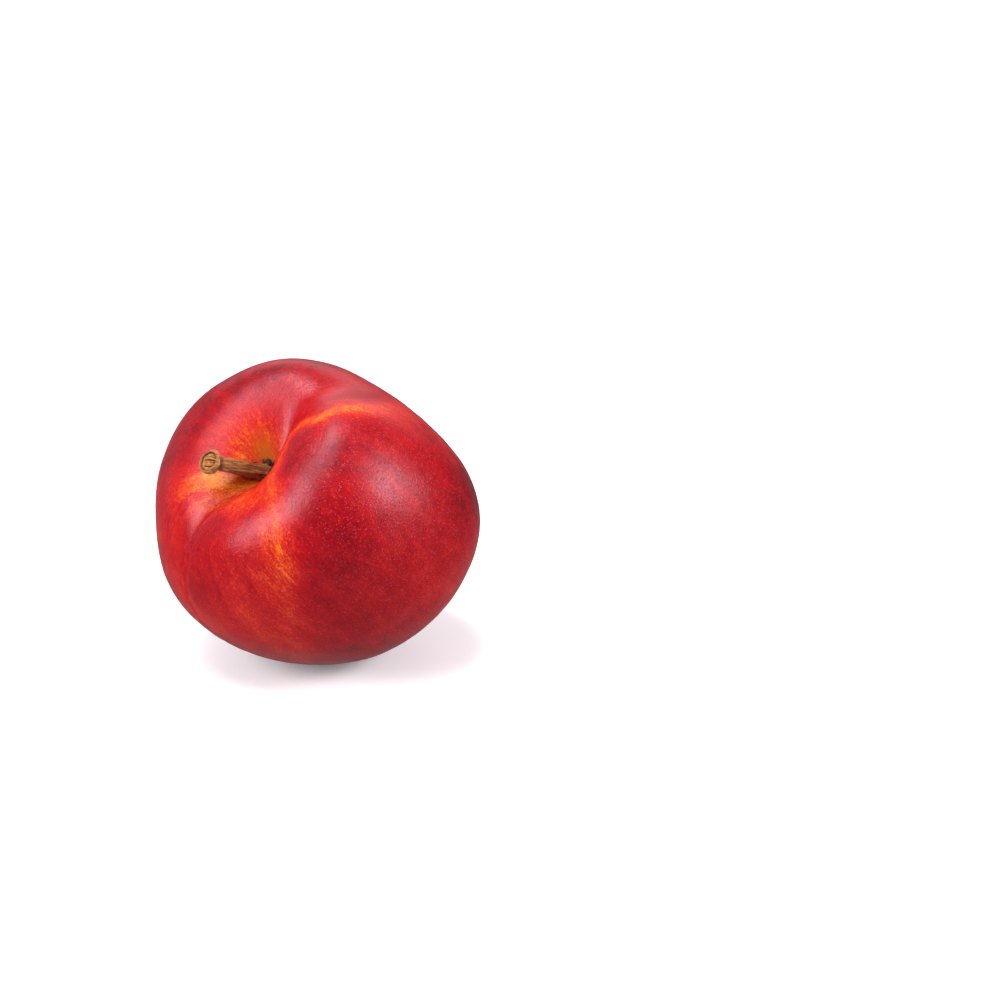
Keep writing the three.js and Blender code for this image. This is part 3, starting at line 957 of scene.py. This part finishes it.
def bark_material():
    m = Shader("stalk_bark")
    place = m.place()
    grain = m.attribute("grain", "Vector")
    parts = m.node("ShaderNodeSeparateXYZ")
    m.feed(grain, parts.inputs["Vector"])
    along = parts.outputs["Z"]
    lines = m.noise(m.scaled(grain, LINES_FINENESS), *LINES)
    blotch = m.noise(place, *BLOTCH)
    fleck = m.noise(place, *FLECK)

    lighter = m.step(along, *LIGHTER)
    dark = m.blend(lighter, *BARK_DARK)
    light = m.blend(lighter, *BARK_LIGHT)
    wood = m.blend(m.step(lines, *LINES_FADE), dark, light)
    wood = m.blend(m.step(blotch, *BLOTCH_FADE), wood, BARK_BLOTCH)
    wood = m.blend(m.step(fleck, *FLECK_FADE), wood, BARK_FLECK)
    wood = m.blend(m.step(along, *FOOT_FADE), wood, FOOT_SHADE)
    neck = m.math("MULTIPLY", m.step(along, *NECK_START), m.step(along, *NECK_END))
    wood = m.blend(neck, wood, NECK_SHADE)

    scar = m.attribute("scar")
    mottled = m.step(m.noise(place, *PITH_GRAIN), *PITH_FADE)
    at_rim = m.step(scar, *SCAR_RIM_START)
    pith = m.blend(at_rim, m.blend(mottled, *PITH), m.blend(mottled, *SCAR_RIM))
    pith = m.blend(m.step(m.attribute("marks"), *GROOVE_FADE), pith, GROOVE)
    wood = m.blend(m.step(scar, *SCAR_START), wood, pith)

    return m.surfaced({
        "Base Color": wood,
        "Roughness": m.step(blotch, *BARK_ROUGHNESS),
        "Specular IOR Level": DRY_SPECULAR,
        "Normal": m.bump(fleck, FLECK_HEIGHT, under=m.bump(lines, LINES_HEIGHT)),
    })


# --------------------------------------------------------------------------- dried scales

SCALES = (
    # how far along the stalk (mm), angle round it (degrees), length, width, lift (mm)
    (4.1, 266, 2.6, 1.9, 0.75),
    (3.5, 246, 2.4, 2.2, 0.85),
    (5.9, 286, 2.6, 1.5, 0.45),
    (4.3, 215, 1.9, 1.4, 0.50),
    (4.8, 170, 1.8, 1.3, 0.45),
    (4.5, 110, 1.9, 1.3, 0.40),
    (5.0, 40, 1.7, 1.2, 0.35),
)
SCALE_SEED = 7
SCALE_FINENESS = 4
SCALE_BULGE = {"share": 0.45, "waves": 1.6}
SCALE_THICK = 0.50               # half its thickness (mm)
SCALE_HOLLOW = 0.35              # how far its edges bend back to the stalk (mm)
SCALE_SEAT = 0.95                # where it is seated, in shares of the stalk's radius
NOISE_SPREAD = 20                # how far apart in the noise two scales may be

SCALE_COLOURS = (rgba(0.014, 0.006, 0.005), rgba(0.15, 0.055, 0.028))
PATCH = (1400.0, 4.0, 0.65)
PATCH_FADE = (0.38, 0.68)
PATCH_HEIGHT = 0.0002
SCALE_ROUGHNESS = (0.3, 0.7, 0.5, 0.75)


def make_scales(material):
    """Curled remnants of the flower's scales round the foot of the stalk."""
    bm = bmesh.new()
    dice = random.Random(SCALE_SEED)
    for along, angle, length, width, lift in SCALES:
        made = bmesh.ops.create_icosphere(bm, subdivisions=SCALE_FINENESS, radius=1.0)
        seed = Vector([dice.uniform(0, NOISE_SPREAD) for _ in range(3)])
        for vert in made["verts"]:
            x, y, z = vert.co
            lumps = noise.noise(vert.co * SCALE_BULGE["waves"] + seed)
            bulge = 1 + SCALE_BULGE["share"] * lumps
            reach = x * length / 2
            curl = lift * (x + 1) ** 2 / 2
            thick = z * SCALE_THICK * bulge - SCALE_HOLLOW * y * y
            off = STALK_BASE * SCALE_SEAT + curl + thick
            angle_here = math.radians(angle) + y * width / 2 / STALK_BASE
            vert.co = stalk_point(along + reach, off, angle_here) * MM
    bmesh.ops.recalc_face_normals(bm, faces=bm.faces)
    return finished("dried_scales", bm, material)


def scale_material():
    m = Shader("dried_scale")
    patch = m.noise(m.place(), *PATCH)
    return m.surfaced({
        "Base Color": m.blend(m.step(patch, *PATCH_FADE), *SCALE_COLOURS),
        "Roughness": m.step(patch, *SCALE_ROUGHNESS),
        "Specular IOR Level": DRY_SPECULAR,
        "Normal": m.bump(patch, PATCH_HEIGHT),
    })


# ------------------------------------------------------------------- camera, floor and light

def camera_axes():
    """The camera's right, up and back, in the scene's own axes."""
    a = math.radians(CAMERA_AZIMUTH)
    e = math.radians(CAMERA_ELEVATION)
    back = Vector((math.sin(a) * math.cos(e), -math.cos(a) * math.cos(e), math.sin(e)))
    right = Vector((math.cos(a), math.sin(a), 0))
    return right, back.cross(right), back


def make_camera():
    right, up, back = camera_axes()
    per_pixel = SENSOR / LENS / FRAME_PIXELS * CAMERA_DISTANCE
    across = (FRUIT_MIDDLE_PIXEL[0] - FRAME_PIXELS / 2) * per_pixel
    down = (FRUIT_MIDDLE_PIXEL[1] - FRAME_PIXELS / 2) * per_pixel
    lens = bpy.data.cameras.new("camera")
    lens.lens = LENS
    lens.sensor_width = SENSOR
    lens.clip_start = CLIP_START
    camera = bpy.data.objects.new("camera", lens)
    place = CENTRE * MM + back * CAMERA_DISTANCE - right * across + up * down
    turned = Matrix((right, up, back)).transposed().to_4x4()
    camera.matrix_world = Matrix.Translation(place) @ turned
    bpy.context.scene.collection.objects.link(camera)
    bpy.context.scene.camera = camera


# Seen from the camera the floor is a white lit table. What it throws back onto the
# fruit is held down, so that the underside keeps its deep colour.
FLOOR_REACH = 6.0
FLOOR_WHITE = 0.92
FLOOR_BOUNCE = 0.60
FLOOR_GLOW = 0.18
FLOOR_TINT = rgba(1.0, 0.99, 1.0)
FLOOR_ROUGHNESS = 0.9


def make_floor():
    bm = bmesh.new()
    bmesh.ops.create_grid(bm, x_segments=1, y_segments=1, size=FLOOR_REACH)
    m = Shader("studio_floor")
    seen = m.node("ShaderNodeLightPath").outputs["Is Camera Ray"]
    white = m.surfaced({
        "Base Color": m.step(seen, 0.0, 1.0, FLOOR_BOUNCE, FLOOR_WHITE),
        "Emission Strength": m.step(seen, 0.0, 1.0, 0.0, FLOOR_GLOW),
        "Emission Color": FLOOR_TINT,
        "Roughness": FLOOR_ROUGHNESS,
        "Specular IOR Level": 0.0,
    })
    floor = finished("studio_floor", bm, white, smooth=False)
    floor.visible_glossy = False


def towards(way):
    """A direction given from the camera's right, up and back, in the scene's own axes."""
    right, up, back = camera_axes()
    return (right * way[0] + up * way[1] + back * way[2]).normalized()


# Soft lamps: name, direction (right, up and back of the camera), size (m), brightness.
LAMPS = (
    ("right_softbox", (0.87, 0.37, 0.32), (0.84, 0.80), 24.5),
    ("left_softbox", (-0.68, 0.29, 0.67), (0.62, 1.05), 25.0),
    ("top_softbox", (-0.06, 0.94, 0.32), (0.50, 0.76), 29.5),
    ("upper_softbox", (-0.27, 0.70, 0.66), (0.66, 0.42), 19.5),
)
LAMP_DISTANCE = 1.1
LAMP_COLOUR = (0.97, 0.95, 1.0)
LAMP_MIDDLE = (0.5, 0.5, 0.0)    # each lamp being 1 across and 1 high
LAMP_FADE = 0.5                  # how far from there its light has run out

# The room: a soft ceiling, a bright backdrop that ends at the horizon, a dimmer panel
# at the left and a trace of light from the ground behind. Each has a direction (right,
# up and back of the camera), the two cosines between which it fades in, and the
# strengths that it fades between.
ROOM_LIGHT = 0.045
ROOM_COLOUR = rgba(0.98, 0.95, 1.0)
CEILING = ((0.0, 0.914, 0.407), 0.25, 0.85, 0.0, 0.28)
BACKDROP = ((0.04, 0.62, -0.78), 0.80, 0.95, 0.0, 1.45)
SIDE_PANEL = ((-0.84, 0.44, -0.33), 0.86, 0.98, 0.0, 0.6)
GROUND = ((-0.20, -0.60, -0.77), 0.30, 0.80, 0.0, 0.22)
HORIZON = (0.08, 0.26)


def softbox(name, way, size, brightness):
    """A soft rectangular lamp that faces the fruit, brightest in its middle."""
    lamp = bpy.data.lights.new(name, "AREA")
    lamp.shape = "RECTANGLE"
    lamp.size, lamp.size_y = size
    lamp.energy = brightness * math.pi * size[0] * size[1]
    lamp.color = LAMP_COLOUR
    lamp.use_nodes = True
    n = Nodes(lamp.node_tree)
    place = n.node("ShaderNodeNewGeometry").outputs["Parametric"]
    off = n.vector_math("DISTANCE", place, LAMP_MIDDLE, "Value")
    n.feed(n.step(off, 0.0, LAMP_FADE, 1.0, 0.0), n.tree.nodes["Emission"].inputs["Strength"])
    light = bpy.data.objects.new(name, lamp)
    light.location = CENTRE * MM + towards(way) * LAMP_DISTANCE
    light.rotation_euler = towards(way).to_track_quat("Z", "Y").to_euler()
    light.visible_camera = False
    bpy.context.scene.collection.objects.link(light)


def make_world():
    world = bpy.data.worlds.new("studio")
    world.use_nodes = True
    n = Nodes(world.node_tree)
    heading = n.node("ShaderNodeTexCoord").outputs["Generated"]

    def facing(way, *fade):
        return n.step(n.vector_math("DOT_PRODUCT", heading, way, "Value"), *fade)

    glow = facing(towards(BACKDROP[0]), *BACKDROP[1:])
    glow = n.math("MULTIPLY", glow, facing((0, 0, 1), *HORIZON))
    for way, *fade in (CEILING, SIDE_PANEL, GROUND):
        glow = n.math("ADD", glow, facing(towards(way), *fade))
    glow = n.math("ADD", glow, ROOM_LIGHT)
    seen = n.node("ShaderNodeLightPath").outputs["Is Camera Ray"]
    surface = n.tree.nodes["Background"]
    n.feed(ROOM_COLOUR, surface.inputs["Color"])
    n.feed(n.math("MAXIMUM", glow, seen), surface.inputs["Strength"])
    bpy.context.scene.world = world


# ------------------------------------------------------------------------------- assembly

skin = make_skin(skin_material())
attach(skin, "root")
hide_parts("fruit")

stalk = make_stalk(bark_material())
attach(stalk, "root")
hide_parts("stem")

scales = make_scales(scale_material())
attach(scales, "root")

make_camera()
make_floor()
make_world()
for lamp in LAMPS:
    softbox(*lamp)

bpy.context.scene.view_settings.view_transform = "Standard"
